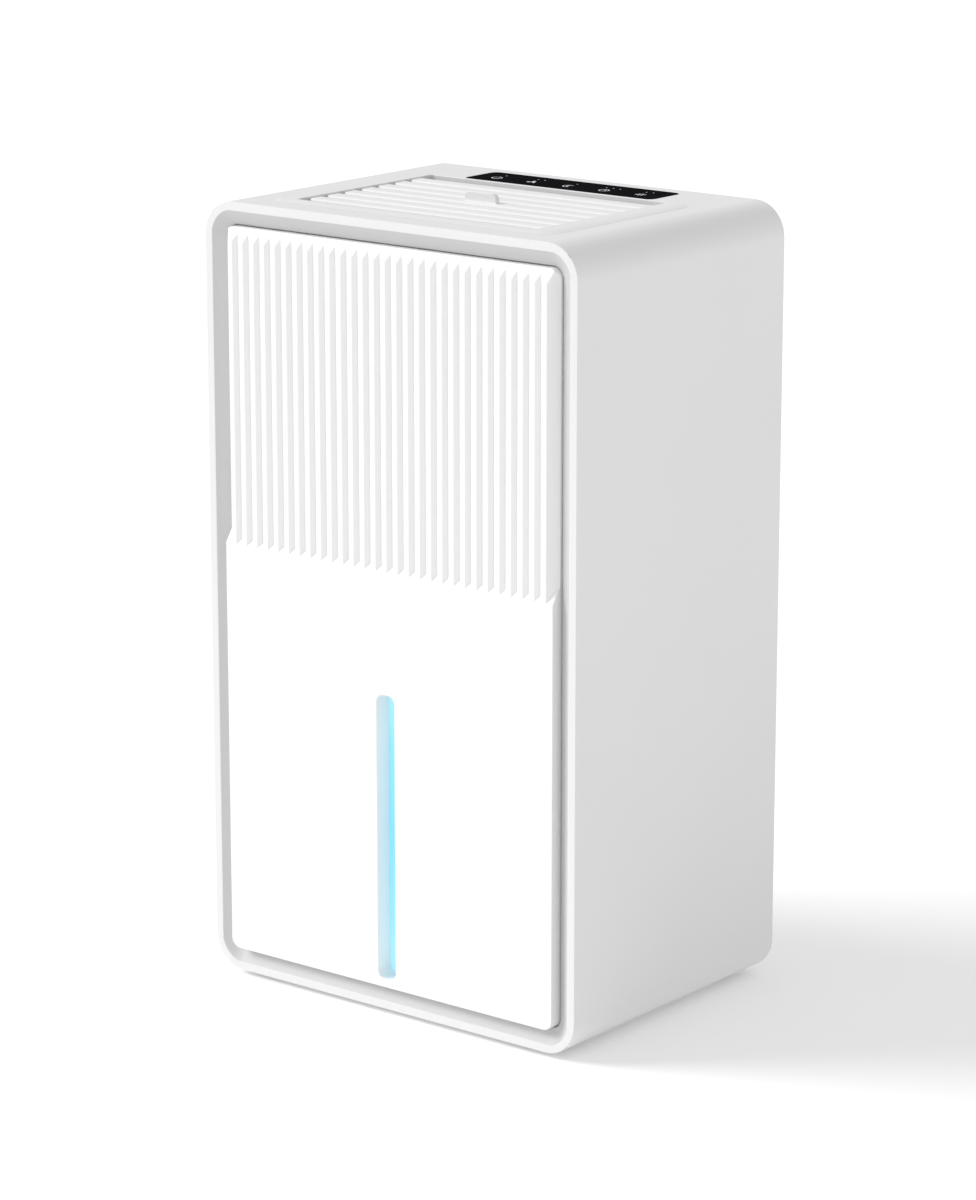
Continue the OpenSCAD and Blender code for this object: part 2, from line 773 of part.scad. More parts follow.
module base_tray() {
    rail_t = 2.5;
    rail_h = 12;
    rail_x = tank_w / 2 + clear;
    color(light_grey) intersection() {
        union() {
            span([-rail_x - rail_t, tank_front_y - 2.5, inner_floor_z],
                [rail_x + rail_t, deck_back_y - 12, inner_floor_z + tray_t]);
            for (s = [-1, 1])
                span([s * rail_x + (s < 0 ? -rail_t : 0), tank_front_y, inner_floor_z],
                    [s * rail_x + (s < 0 ? 0 : rail_t), deck_back_y - 12, inner_floor_z + rail_h]);
            span([-tank_w / 2 + tank_r, tank_front_y - 2.5, inner_floor_z],
                [tank_w / 2 - tank_r, tank_front_y - clear, inner_floor_z + rail_h]);
        }
        floor_space();
    }
}

module deck() {
    color(light_grey) difference() {
        union() {
            span([-deck_w / 2, deck_y, deck_z], [deck_w / 2, deck_back_y, deck_top_z]);
            translate([0, drip_y, deck_z - spout_len]) cylinder(h = spout_len, r = drip_hole_r + 2);
        }
        translate([0, drip_y, deck_z - spout_len - eps])
            cylinder(h = spout_len + deck_t + 2 * eps, r = drip_hole_r);
        span([jack_x - 7, cover_y - 16, deck_z - eps], [jack_x + 7, cover_y + eps, deck_top_z + eps]);
    }
}

module drip_tray() {
    tray_w = cold_w + 12;
    tray_d = drip_tray_back_y - drip_tray_y;
    tray_h = 10;
    color(white) translate([0, drip_y, deck_top_z]) difference() {
        rounded_block(tray_w, tray_d, tray_h, 4);
        translate([0, 0, tray_h + 0.01]) mirror([0, 0, 1])
            flared_block(tray_w - 3, tray_d - 3, tray_h - 2, 12, 8);
        translate([0, 0, -eps]) cylinder(h = 12, r = drip_hole_r);
    }
}

module level_switch() {
    color([0.1, 0.35, 0.2]) {
        span([float_x + 2, float_y - 8, deck_z - board_t], [float_x + 26, float_y + 8, deck_z]);
        translate([float_x + 6, float_y, deck_z - board_t - 2]) rotate([0, 90, 0])
            cylinder(h = 14, r = 1.4);
        span([float_x + 5, float_y - 1, deck_z - board_t - 2], [float_x + 7, float_y + 1, deck_z]);
        span([float_x + 18, float_y - 1, deck_z - board_t - 2], [float_x + 20, float_y + 1, deck_z]);
    }
}

// ---- Cooler ----

module at_clamps() {
    for (x = [-1, 1], z = [-1, 1]) translate([x * clamp_x, 0, sink_mid_z + z * clamp_z]) children();
}

module bulkhead() {
    color(light_grey) difference() {
        span([-deck_w / 2, stack_y, deck_top_z], [deck_w / 2, cold_y, duct_z]);
        span([-cold_w / 2 - clear, stack_y - eps, sink_z - clear],
            [cold_w / 2 + clear, cold_y + eps, sink_top_z + clear]);
        for (x = [-1, 1])
            translate([x * (window_x + window_w / 2), stack_y + module_t / 2, sink_mid_z])
                cube([window_w, 2 * module_t, sink_h - 16], center = true);
        for (x = [-1, 1])
            translate([x * (body_w / 2 - wall), stack_y + module_t / 2, duct_z])
                cube([2 * (ledge_w + clear), 2 * module_t, 2 * (ledge_w + clear)], center = true);
    }
}

module foam_gasket() {
    color([0.15, 0.15, 0.16]) difference() {
        span([-cold_w / 2, stack_y, sink_z], [cold_w / 2, cold_y, sink_top_z]);
        for (x = [-1, 1])
            span([x * module_x - module_w / 2 - clear, stack_y - eps,
                sink_mid_z - module_w / 2 - clear],
                [x * module_x + module_w / 2 + clear, cold_y + eps,
                sink_mid_z + module_w / 2 + clear]);
        at_clamps() rod_y(0, stack_y - eps, 0, 2.2, module_t + 2 * eps);
    }
}

module cooler(side) {
    plate_t = 0.8;
    color([0.93, 0.93, 0.9]) translate([side * module_x, 0, sink_mid_z]) {
        for (y = [stack_y, cold_y - plate_t])
            span([-module_w / 2, y, -module_w / 2], [module_w / 2, y + plate_t, module_w / 2]);
        span([-module_w / 2 + 1, stack_y + plate_t, -module_w / 2 + 1],
            [module_w / 2 - 1, cold_y - plate_t, module_w / 2 - 1]);
    }
}

// A row of upright fins across a width, between two depths
module fins(width, y_low, y_high) {
    count = floor((width - fin_t) / fin_pitch);
    for (i = [0 : count])
        translate([(i - count / 2) * fin_pitch - fin_t / 2, y_low, sink_z])
            cube([fin_t, y_high - y_low, sink_h]);
}

module cold_sink() {
    color([0.75, 0.76, 0.78]) difference() {
        union() {
            span([-cold_w / 2, cold_y, sink_z], [cold_w / 2, cold_y + cold_base_t, sink_top_z]);
            fins(cold_w, cold_y + cold_base_t, cold_back_y);
        }
        at_clamps() rod_y(0, cold_y - eps, 0, 1.6, cold_base_t + eps);
    }
}

module hot_sink() {
    color([0.75, 0.76, 0.78]) difference() {
        union() {
            span([-hot_w / 2, hot_y, sink_z], [hot_w / 2, stack_y, sink_top_z]);
            fins(hot_w, hot_y - hot_fin_d, hot_y);
        }
        at_clamps() {
            rod_y(0, hot_y - eps, 0, 2.2, hot_base_t + 2 * eps);
            rod_y(0, hot_y - hot_fin_d - eps, 0, 4.5, hot_fin_d + eps);
        }
    }
}

module clamp_screws() {
    color([0.6, 0.6, 0.62]) at_clamps() {
        rod_y(0, hot_y, 0, 1.55, hot_base_t + module_t + cold_base_t - 1);
        rod_y(0, hot_y - 2.2, 0, 3.4, 2.2);
    }
}

// ---- Fan ----

module fan_duct() {
    color(light_grey) difference() {
        span([-deck_w / 2, flange_back_y + 3, duct_z], [deck_w / 2, deck_back_y, fan_z]);
        translate([fan_x, fan_y, duct_z - eps]) cylinder(h = duct_t + 2 * eps, r = fan_bore_r);
        for (x = [-1, 1], y = [-1, 1])
            translate([fan_x + x * fan_hole_spacing / 2, fan_y + y * fan_hole_spacing / 2,
                duct_z - eps]) cylinder(h = duct_t + 2 * eps, r = fan_screw_r);
    }
}

module fan_frame() {
    strut_w = 4;
    strut_h = 4;
    color([0.12, 0.12, 0.13]) translate([fan_x, fan_y, fan_z]) difference() {
        union() {
            difference() {
                rounded_block(fan_size, fan_size, fan_h, 4);
                translate([0, 0, -eps]) cylinder(h = fan_h + 2 * eps, r = fan_bore_r);
            }
            for (a = [45, 135, 225, 315]) rotate([0, 0, a])
                translate([hub_r - 2, -strut_w / 2, 0.4])
                    cube([fan_bore_r - hub_r + 3, strut_w, strut_h - 0.8]);
            cylinder(h = strut_h, r = hub_r);
            cylinder(h = 15, r = shaft_r + 2);
        }
        translate([0, 0, strut_h - 1]) cylinder(h = fan_h, r = shaft_r + fit);
        for (x = [-1, 1], y = [-1, 1])
            translate([x * fan_hole_spacing / 2, y * fan_hole_spacing / 2, -eps])
                cylinder(h = fan_h + 2 * eps, r = fan_hole_r);
    }
}

module fan_motor() {
    coil_count = 4;
    color([0.7, 0.4, 0.2]) translate([fan_x, fan_y, fan_z + 4]) difference() {
        union() {
            for (i = [0 : coil_count - 1]) rotate([0, 0, i * 90])
                translate([0, -3.5, 1]) cube([hub_r - 5, 7, 9]);
            translate([0, 0, 0]) cylinder(h = 10, r = 7);
        }
        translate([0, 0, -eps]) cylinder(h = 10 + 2 * eps, r = shaft_r + 2);
    }
}

module fan_rotor() {
    rotor_h = 18;
    cap_t = 2.5;
    blade_t = 1.4;
    tip_r = fan_bore_r - blade_tip_gap;
    color([0.15, 0.15, 0.16]) translate([fan_x, fan_y, fan_z + 5]) {
        difference() {
            cylinder(h = rotor_h, r = hub_r);
            translate([0, 0, -eps]) cylinder(h = rotor_h - cap_t + eps, r = hub_r - 2);
        }
        translate([0, 0, -1]) cylinder(h = rotor_h, r = shaft_r);
        intersection() {
            difference() {
                translate([0, 0, 0.5]) cylinder(h = rotor_h - 1, r = tip_r);
                cylinder(h = rotor_h, r = hub_r - 1);
            }
            for (i = [0 : blade_count - 1]) rotate([0, 0, i * 360 / blade_count])
                translate([0, 0, rotor_h / 2]) rotate([38, 0, 0])
                    translate([hub_r - 2, -17, -blade_t / 2]) cube([tip_r - hub_r + 3, 34, blade_t]);
        }
    }
}

module fan_screws() {
    color([0.6, 0.6, 0.62]) for (x = [-1, 1], y = [-1, 1])
        translate([fan_x + x * fan_hole_spacing / 2, fan_y + y * fan_hole_spacing / 2, duct_z + 0.5]) {
            cylinder(h = duct_t + fan_h - 0.5, r = fan_screw_r - fit);
            translate([0, 0, duct_t + fan_h - 0.5]) cylinder(h = 1.6, r = 3.2);
        }
}

// ---- Electrics ----

module power_board() {
    x = power_board_x;
    y = stack_y - 80;
    z = deck_top_z;
    color([0.1, 0.35, 0.2]) {
        span([x, y, z], [x + board_t, y + 70, z + 95]);
        span([x + board_t, y + 6, z + 50], [x + 20, y + 34, z + 78]);
        for (i = [0, 1]) rod_x(x + board_t, y + 44 + i * 15, z + 64, 6, 14);
        span([x + board_t, y + 6, z + 14], [x + 8, y + 36, z + 34]);
        span([x + board_t, y + 44, z + 12], [x + 12, y + 64, z + 30]);
    }
}

module power_jack() {
    jack_len = 14;
    color(black) difference() {
        union() {
            rod_y(jack_x, cover_y - 1, jack_z, jack_hole_r - clear, cover_t + 0.5);
            span([jack_x - 6, cover_y - jack_len, jack_z - 6], [jack_x + 6, cover_y, jack_z + 6]);
        }
        rod_y(jack_x, cover_y - jack_len + 3, jack_z, jack_bore_r, 20);
    }
    color(black) rod_y(jack_x, cover_y - jack_len + 2, jack_z, 1, 13);
}

module humidity_sensor() {
    x = body_w / 2 - 16;
    z = (deck_top_z + top_z) / 2;
    color([0.1, 0.35, 0.2]) {
        span([x - 6, cover_y - board_t, z - 10], [x + 6, cover_y, z + 10]);
        span([x - 3, cover_y - board_t - 4, z - 5], [x + 3, cover_y - board_t, z + 5]);
    }
}

// ---- Feet ----

function foot_x() = body_w / 2 - corner_r - foot_r - 2;
function foot_y() = body_d / 2 - foot_r - 8;

module foot(i) {
    x = (i % 2 == 0 ? 1 : -1) * foot_x();
    y = (i > 2 ? 1 : -1) * foot_y();
    color([0.25, 0.25, 0.26]) translate([x, y, 0]) {
        cylinder(h = 1, r1 = foot_r - 1, r2 = foot_r);
        translate([0, 0, 1]) cylinder(h = foot_h - 1, r = foot_r);
        translate([0, 0, foot_h]) cylinder(h = wall - 0.5, r = 3 - fit);
    }
}

outer_shell();
front_panel();
light_bar();
light_housing();
light_board();
outlet_frame();
louver(1);  // louver_1
louver(2);  // louver_2
louver(3);  // louver_3
louver(4);  // louver_4
louver(5);  // louver_5
louver(6);  // louver_6
louver(7);  // louver_7
louver_link();
touch_glass();
control_board();
rear_cover();
rear_screws();
inlet_door();
inlet_filter();
tank_body();
tank_face();
tank_lid();
tank_float();
float_magnet();
float_clip();
base_tray();
deck();
drip_tray();
level_switch();
bulkhead();
cold_sink();
hot_sink();
cooler(-1);  // cooler_left
cooler(1);  // cooler_right
foam_gasket();
clamp_screws();
fan_duct();
fan_frame();
fan_motor();
fan_rotor();
fan_screws();
power_board();
power_jack();
humidity_sensor();
foot(1);  // foot_1
foot(2);  // foot_2
foot(3);  // foot_3
foot(4);  // foot_4
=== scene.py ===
import json
import math

import bmesh
import bpy
from mathutils import Matrix, Vector


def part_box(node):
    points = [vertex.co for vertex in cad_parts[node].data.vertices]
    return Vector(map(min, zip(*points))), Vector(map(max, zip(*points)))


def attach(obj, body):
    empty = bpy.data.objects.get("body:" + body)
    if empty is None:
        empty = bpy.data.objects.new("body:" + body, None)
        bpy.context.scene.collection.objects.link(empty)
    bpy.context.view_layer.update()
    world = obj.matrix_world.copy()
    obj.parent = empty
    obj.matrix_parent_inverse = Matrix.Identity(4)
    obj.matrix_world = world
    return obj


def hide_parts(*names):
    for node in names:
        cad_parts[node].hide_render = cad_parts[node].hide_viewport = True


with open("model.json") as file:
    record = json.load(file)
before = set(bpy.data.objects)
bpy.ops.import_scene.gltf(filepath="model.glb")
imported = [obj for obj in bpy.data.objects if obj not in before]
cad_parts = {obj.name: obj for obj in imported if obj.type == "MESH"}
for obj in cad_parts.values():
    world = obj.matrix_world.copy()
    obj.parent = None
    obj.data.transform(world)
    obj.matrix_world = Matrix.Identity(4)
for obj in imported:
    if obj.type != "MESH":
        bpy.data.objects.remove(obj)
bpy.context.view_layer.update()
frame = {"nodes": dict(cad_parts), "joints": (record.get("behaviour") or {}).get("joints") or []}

# ---- Outer shell ----
# The shell is one deep sleeve of white ABS with a dished front edge, moulded round the whole cabinet.
# The rear cover screws to bosses inside it. Every moulded edge is rounded by a few tenths of a millimetre.


def moulded_piece(node, name, edge, segments=2, sharp=32, crease=38):
    """A copy of a moulding whose sharp edges are rounded by the tool's own radius."""
    mesh = frame["nodes"][node].data.copy()
    mesh.name = name
    mesh.materials.clear()
    bm = bmesh.new()
    bm.from_mesh(mesh)
    bmesh.ops.remove_doubles(bm, verts=bm.verts, dist=2e-6)
    bmesh.ops.dissolve_limit(bm, angle_limit=math.radians(0.6), verts=bm.verts, edges=bm.edges,
                             delimit={"NORMAL"})
    bmesh.ops.dissolve_degenerate(bm, dist=2e-6, edges=bm.edges)
    corners = [e for e in bm.edges if len(e.link_faces) == 2 and e.calc_face_angle(0) > math.radians(sharp)]
    if edge:
        bmesh.ops.bevel(bm, geom=corners, offset=edge, offset_type="OFFSET", affect="EDGES",
                        segments=segments, profile=0.5, clamp_overlap=False, loop_slide=True, material=-1)
        bmesh.ops.remove_doubles(bm, verts=bm.verts, dist=2e-6)
    for face in bm.faces:
        face.smooth = True
    bm.to_mesh(mesh)
    bm.free()
    mesh.set_sharp_from_angle(angle=math.radians(crease))
    piece = bpy.data.objects.new(name, mesh)
    bpy.context.collection.objects.link(piece)
    even = piece.modifiers.new("flat_faces_stay_flat", "WEIGHTED_NORMAL")
    even.keep_sharp = True
    even.weight = 100
    return piece


def wire(tree, source, output, target, socket):
    tree.links.new(source.outputs[output], target.inputs[socket])


def pattern_space(tree, centre):
    """Object coordinates, measured from the piece's own middle."""
    place = tree.nodes.new("ShaderNodeTexCoord")
    centred = tree.nodes.new("ShaderNodeMapping")
    centred.vector_type = "POINT"
    centred.inputs["Location"].default_value = [-c for c in centre]
    wire(tree, place, "Object", centred, "Vector")
    return centred


def moulded_plastic(name, colour, shade, roughness, grain=0.00035, relief=0.05, centre=(0, 0, 0.2)):
    """Injection-moulded plastic: a faint drift of tone, and the fine spark-eroded grain of the mould."""
    material = bpy.data.materials.new(name)
    material.use_nodes = True
    tree = material.node_tree
    shader = tree.nodes["Principled BSDF"]
    shader.inputs["IOR"].default_value = 1.49
    space = pattern_space(tree, centre)
    drift = tree.nodes.new("ShaderNodeTexNoise")
    drift.inputs["Scale"].default_value = 9
    drift.inputs["Detail"].default_value = 3
    tone = tree.nodes.new("ShaderNodeValToRGB")
    tone.color_ramp.elements[0].position = 0.3
    tone.color_ramp.elements[0].color = (*shade, 1)
    tone.color_ramp.elements[1].position = 0.7
    tone.color_ramp.elements[1].color = (*colour, 1)
    speck = tree.nodes.new("ShaderNodeTexNoise")
    speck.inputs["Scale"].default_value = 1 / grain
    speck.inputs["Detail"].default_value = 2
    gloss = tree.nodes.new("ShaderNodeMapRange")
    gloss.inputs["To Min"].default_value = roughness - 0.05
    gloss.inputs["To Max"].default_value = roughness + 0.05
    bump = tree.nodes.new("ShaderNodeBump")
    bump.inputs["Strength"].default_value = relief
    bump.inputs["Distance"].default_value = grain / 4
    wire(tree, space, "Vector", drift, "Vector")
    wire(tree, space, "Vector", speck, "Vector")
    wire(tree, drift, "Fac", tone, "Fac")
    wire(tree, tone, "Color", shader, "Base Color")
    wire(tree, speck, "Fac", gloss, "Value")
    wire(tree, gloss, "Result", shader, "Roughness")
    wire(tree, speck, "Fac", bump, "Height")
    wire(tree, bump, "Normal", shader, "Normal")
    return material


shell_plastic = moulded_plastic("shell_plastic", (0.81, 0.81, 0.813), (0.795, 0.795, 0.8), 0.42)
outer_shell = moulded_piece("outer_shell", "shell", 0.0004, 3, 23, 20)
outer_shell.data.materials.append(shell_plastic)
# The dished band inside the rim belongs to the same sleeve and plastic; its greyer colour is painted shade,
# standing in for the shade that falls in the recess.
outer_shell.data.materials.append(
    moulded_plastic("dish_painted_shade", (0.6, 0.6, 0.603), (0.59, 0.59, 0.594), 0.42))
rim_low, rim_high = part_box("outer_shell")
rim_w = 0.0044
dish_d = 0.0046
# Sloped faces of the dish inside the rim take the darker material, which is painted shade for the recess.
for face in outer_shell.data.polygons:
    x, y, z = face.center
    if y < rim_low[1] + dish_d and 0.2 < -face.normal.y < 0.97:
        takes_painted_shade = abs(x) < rim_high[0] - rim_w and rim_low[2] + rim_w < z < rim_high[2] - rim_w
        face.material_index = int(takes_painted_shade)
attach(outer_shell, "casing")
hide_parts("outer_shell")

# ---- Front panel ----
# One glossy-white ABS panel fills the dish. Its upper two thirds are fluted, its lower part is smooth.
# It clips in from behind, so that its side walls stand clear of the shell by a dark hairline gap.

panel_plastic = moulded_plastic("panel_plastic", (0.91, 0.91, 0.914), (0.9, 0.9, 0.905), 0.34,
                                relief=0.03)
front_panel = moulded_piece("front_panel", "fluted_panel", 0.00028, 2)
front_panel.data.materials.append(panel_plastic)
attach(front_panel, "casing")
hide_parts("front_panel")

# ---- Light slot ----
# Behind the slot a clear blue bar spreads the light of a strip of small lamps.
# It snaps into a white housing that also holds the lamp board.

bar_low, bar_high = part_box("light_bar")
glow = bpy.data.materials.new("lit_bar")
glow.use_nodes = True
glow_tree = glow.node_tree
glow_shader = glow_tree.nodes["Principled BSDF"]
glow_shader.inputs["Roughness"].default_value = 0.3
glow_space = pattern_space(glow_tree, (bar_low + bar_high) / 2)
glow_axis = glow_tree.nodes.new("ShaderNodeSeparateXYZ")
glow_height = glow_tree.nodes.new("ShaderNodeMapRange")
glow_height.inputs["From Min"].default_value = -(bar_high.z - bar_low.z) / 2
glow_height.inputs["From Max"].default_value = (bar_high.z - bar_low.z) / 2
glow_colour = glow_tree.nodes.new("ShaderNodeValToRGB")
glow_stops = ((0.0, (0.46, 0.82, 0.94)), (0.2, (0.34, 0.76, 0.92)), (0.5, (0.27, 0.71, 0.91)),
              (0.8, (0.31, 0.75, 0.92)), (1.0, (0.45, 0.82, 0.94)))
for stop in glow_stops[1:-1]:
    glow_colour.color_ramp.elements.new(stop[0])
for element, stop in zip(glow_colour.color_ramp.elements, glow_stops):
    element.position = stop[0]
    element.color = (*stop[1], 1)
wire(glow_tree, glow_space, "Vector", glow_axis, "Vector")
wire(glow_tree, glow_axis, "Z", glow_height, "Value")
wire(glow_tree, glow_height, "Result", glow_colour, "Fac")
wire(glow_tree, glow_colour, "Color", glow_shader, "Base Color")
wire(glow_tree, glow_colour, "Color", glow_shader, "Emission Color")
glow_shader.inputs["Emission Strength"].default_value = 0.33
light_bar = moulded_piece("light_bar", "light_diffuser", 0.0004, 2)
light_bar.data.materials.append(glow)
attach(light_bar, "casing")
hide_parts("light_bar")


def finish_node(node, material):
    """Gives a solid that keeps its own shape a better finish."""
    data = frame["nodes"][node].data
    if data.materials:
        for index in range(len(data.materials)):
            data.materials[index] = material
    else:
        data.materials.append(material)


def circuit_board(name, centre):
    """Green solder mask over a lacework of copper tracks, with the tinned pads showing through."""
    material = bpy.data.materials.new(name)
    material.use_nodes = True
    tree = material.node_tree
    shader = tree.nodes["Principled BSDF"]
    shader.inputs["Roughness"].default_value = 0.35
    space = pattern_space(tree, centre)
    tracks = tree.nodes.new("ShaderNodeTexBrick")
    tracks.inputs["Scale"].default_value = 160
    tracks.inputs["Mortar Size"].default_value = 0.03
    tracks.inputs["Color1"].default_value = (0.010, 0.085, 0.030, 1)
    tracks.inputs["Color2"].default_value = (0.014, 0.115, 0.042, 1)
    tracks.inputs["Mortar"].default_value = (0.040, 0.190, 0.070, 1)
    pads = tree.nodes.new("ShaderNodeTexVoronoi")
    pads.inputs["Scale"].default_value = 420
    cut = tree.nodes.new("ShaderNodeMath")
    cut.operation = "LESS_THAN"
    cut.inputs[1].default_value = 0.16
    mix = tree.nodes.new("ShaderNodeMixRGB")
    mix.inputs["Color2"].default_value = (0.62, 0.62, 0.58, 1)
    wire(tree, space, "Vector", tracks, "Vector")
    wire(tree, space, "Vector", pads, "Vector")
    wire(tree, pads, "Distance", cut, 0)
    wire(tree, cut, "Value", mix, "Fac")
    wire(tree, tracks, "Color", mix, "Color1")
    wire(tree, mix, "Color", shader, "Base Color")
    return material


grey_plastic = moulded_plastic("inner_plastic", (0.62, 0.63, 0.65), (0.58, 0.59, 0.61), 0.55,
                               grain=0.0005, relief=0.12)
lamp_board = circuit_board("lamp_board_green", (bar_low + bar_high) / 2)
finish_node("light_housing", grey_plastic)
finish_node("light_board", lamp_board)

# ---- Outlet frame ----
# A white frame drops into the top from above, with a sloped border and a deep collar.
# Its side walls carry the vanes' pivots, and it snaps under the shell's top wall.

outlet_frame = moulded_piece("outlet_frame", "outlet_surround", 0.00045, 2)
outlet_frame.data.materials.append(shell_plastic)
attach(outlet_frame, "casing")
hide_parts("outlet_frame")

# ---- Louver vanes ----
# Seven white vanes stand across the outlet on small pivots, and a link rod tilts them together.
# The middle vane carries the finger tab. All are moulded in the shell's plastic.

vane_plastic = moulded_plastic("vane_plastic", (0.85, 0.85, 0.855), (0.835, 0.835, 0.84), 0.4,
                               centre=(0, 0, 0.38))
for number in range(1, 8):
    vane = moulded_piece(f"louver_{number}", f"vane_{number}", 0.0003, 2)
    vane.data.materials.append(vane_plastic)
    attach(vane, f"vane_{number}")
    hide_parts(f"louver_{number}")
finish_node("louver_link", grey_plastic)

# ---- Touch controls ----
# A strip of black glass is bonded flush into the top, with key symbols printed white on its back.
# A sprung board under it senses the finger, and small white lamps show the chosen setting.

glass_low, glass_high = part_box("touch_glass")
glass_mid = (glass_low + glass_high) / 2
black_glass = bpy.data.materials.new("black_glass")
black_glass.use_nodes = True
glass_tree = black_glass.node_tree
glass_shader = glass_tree.nodes["Principled BSDF"]
glass_shader.inputs["Specular IOR Level"].default_value = 0.0
glass_space = pattern_space(glass_tree, glass_mid)
smear = glass_tree.nodes.new("ShaderNodeTexNoise")
smear.inputs["Scale"].default_value = 60
smear.inputs["Detail"].default_value = 4
smear_range = glass_tree.nodes.new("ShaderNodeMapRange")
smear_range.inputs["To Min"].default_value = 0.06
smear_range.inputs["To Max"].default_value = 0.16
ink = glass_tree.nodes.new("ShaderNodeValToRGB")
ink.color_ramp.elements[0].color = (0.006, 0.006, 0.007, 1)
ink.color_ramp.elements[1].color = (0.012, 0.012, 0.014, 1)
wire(glass_tree, glass_space, "Vector", smear, "Vector")
wire(glass_tree, smear, "Fac", smear_range, "Value")
wire(glass_tree, smear, "Fac", ink, "Fac")
wire(glass_tree, ink, "Color", glass_shader, "Base Color")
wire(glass_tree, smear_range, "Result", glass_shader, "Roughness")
touch_glass = moulded_piece("touch_glass", "touch_strip", 0.0003, 2)
touch_glass.data.materials.append(black_glass)
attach(touch_glass, "casing")
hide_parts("touch_glass")

white_ink = moulded_plastic("white_ink", (0.86, 0.87, 0.88), (0.8, 0.81, 0.83), 0.4, grain=0.0002)
ink_z = glass_high.z
ink_t = 0.00006
key_pitch = (glass_high.x - glass_low.x) * 0.192
key_xs = [(i - 2) * key_pitch for i in range(5)]
key_y = glass_mid.y - 0.0028


def ink_bar(bm, x, y, length, width, turn=0):
    """A printed stroke with square ends."""
    made = bmesh.ops.create_cube(bm, size=1)["verts"]
    place = (Matrix.Translation((x, y, ink_z)) @ Matrix.Rotation(turn, 4, "Z")
             @ Matrix.Diagonal((length, width, ink_t, 1)))
    bmesh.ops.transform(bm, matrix=place, verts=made)


def ink_dot(bm, x, y, radius, stretch=1, turn=0):
    """A printed dot or petal."""
    made = bmesh.ops.create_cone(bm, cap_ends=True, segments=24, radius1=radius, radius2=radius,
                                 depth=ink_t)["verts"]
    place = (Matrix.Translation((x, y, ink_z)) @ Matrix.Rotation(turn, 4, "Z")
             @ Matrix.Diagonal((1, stretch, 1, 1)))
    bmesh.ops.transform(bm, matrix=place, verts=made)


def ink_arc(bm, x, y, radius, width, start, sweep, steps=40):
    """A printed ring, or a part of one, spun round its middle."""
    near = radius - width / 2
    far = radius + width / 2
    low = ink_z - ink_t / 2
    high = ink_z + ink_t / 2
    corners = [bm.verts.new((x + math.cos(start) * r, y + math.sin(start) * r, z))
               for r, z in ((near, low), (far, low), (far, high), (near, high))]
    loop = [bm.edges.new((corners[i], corners[(i + 1) % 4])) for i in range(4)]
    full = abs(sweep) > 2 * math.pi - 0.01
    spun = bmesh.ops.spin(bm, geom=corners + loop, cent=(x, y, ink_z), axis=(0, 0, 1), angle=sweep,
                          steps=steps, use_merge=full)
    if not full:
        bmesh.ops.contextual_create(bm, geom=loop)
        far_end = [part for part in spun["geom_last"] if isinstance(part, bmesh.types.BMEdge)]
        bmesh.ops.contextual_create(bm, geom=far_end)


keys = bmesh.new()
stroke = 0.00055
x = key_xs[0]
ink_arc(keys, x, key_y, 0.0026, stroke, math.radians(120), math.radians(300))
ink_bar(keys, x, key_y + 0.0022, 0.0024, stroke, math.pi / 2)
x = key_xs[1]
for petal in range(3):
    turn = petal * 2 * math.pi / 3
    ink_dot(keys, x - math.sin(turn) * 0.0017, key_y + math.cos(turn) * 0.0017, 0.00085, 1.5, turn)
ink_dot(keys, x, key_y, 0.0005)
x = key_xs[2]
ink_arc(keys, x, key_y, 0.0025, stroke, math.radians(50), math.radians(260))
ink_arc(keys, x + 0.0012, key_y + 0.0006, 0.0019, stroke, math.radians(75), math.radians(195))
x = key_xs[3]
ink_arc(keys, x, key_y, 0.0026, stroke, 0, 2 * math.pi)
ink_bar(keys, x, key_y + 0.0009, 0.0018, stroke, math.pi / 2)
ink_bar(keys, x + 0.0006, key_y, 0.0012, stroke)
x = key_xs[4]
ink_arc(keys, x, key_y, 0.0013, stroke, 0, 2 * math.pi)
for ray in range(8):
    turn = ray * math.pi / 4
    ink_bar(keys, x + math.cos(turn) * 0.0025, key_y + math.sin(turn) * 0.0025, 0.0009, stroke, turn)
for place, lamps in zip(key_xs, (1, 2, 1, 3, 2)):
    for lamp in range(lamps):
        ink_dot(keys, place + (lamp - (lamps - 1) / 2) * 0.0042, key_y + 0.0078, 0.00042)
for vert in keys.verts:
    vert.co.z -= ink_t / 2 - 0.00002
bmesh.ops.recalc_face_normals(keys, faces=keys.faces)
key_mesh = bpy.data.meshes.new("key_symbols")
keys.to_mesh(key_mesh)
keys.free()
key_symbols = bpy.data.objects.new("key_symbols", key_mesh)
bpy.context.collection.objects.link(key_symbols)
key_mesh.materials.append(white_ink)
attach(key_symbols, "casing")
finish_node("control_board", circuit_board("control_board_green", glass_mid))

# ---- Rear cover ----
# A flat white cover closes the back, with openings for the inlet door, the power socket and the tank.
# Six zinc-plated screws hold it to the shell's bosses, their heads sunk in counterbores.

rear_cover = moulded_piece("rear_cover", "back_cover", 0.0003, 2)
rear_cover.data.materials.append(shell_plastic)
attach(rear_cover, "casing")
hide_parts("rear_cover")


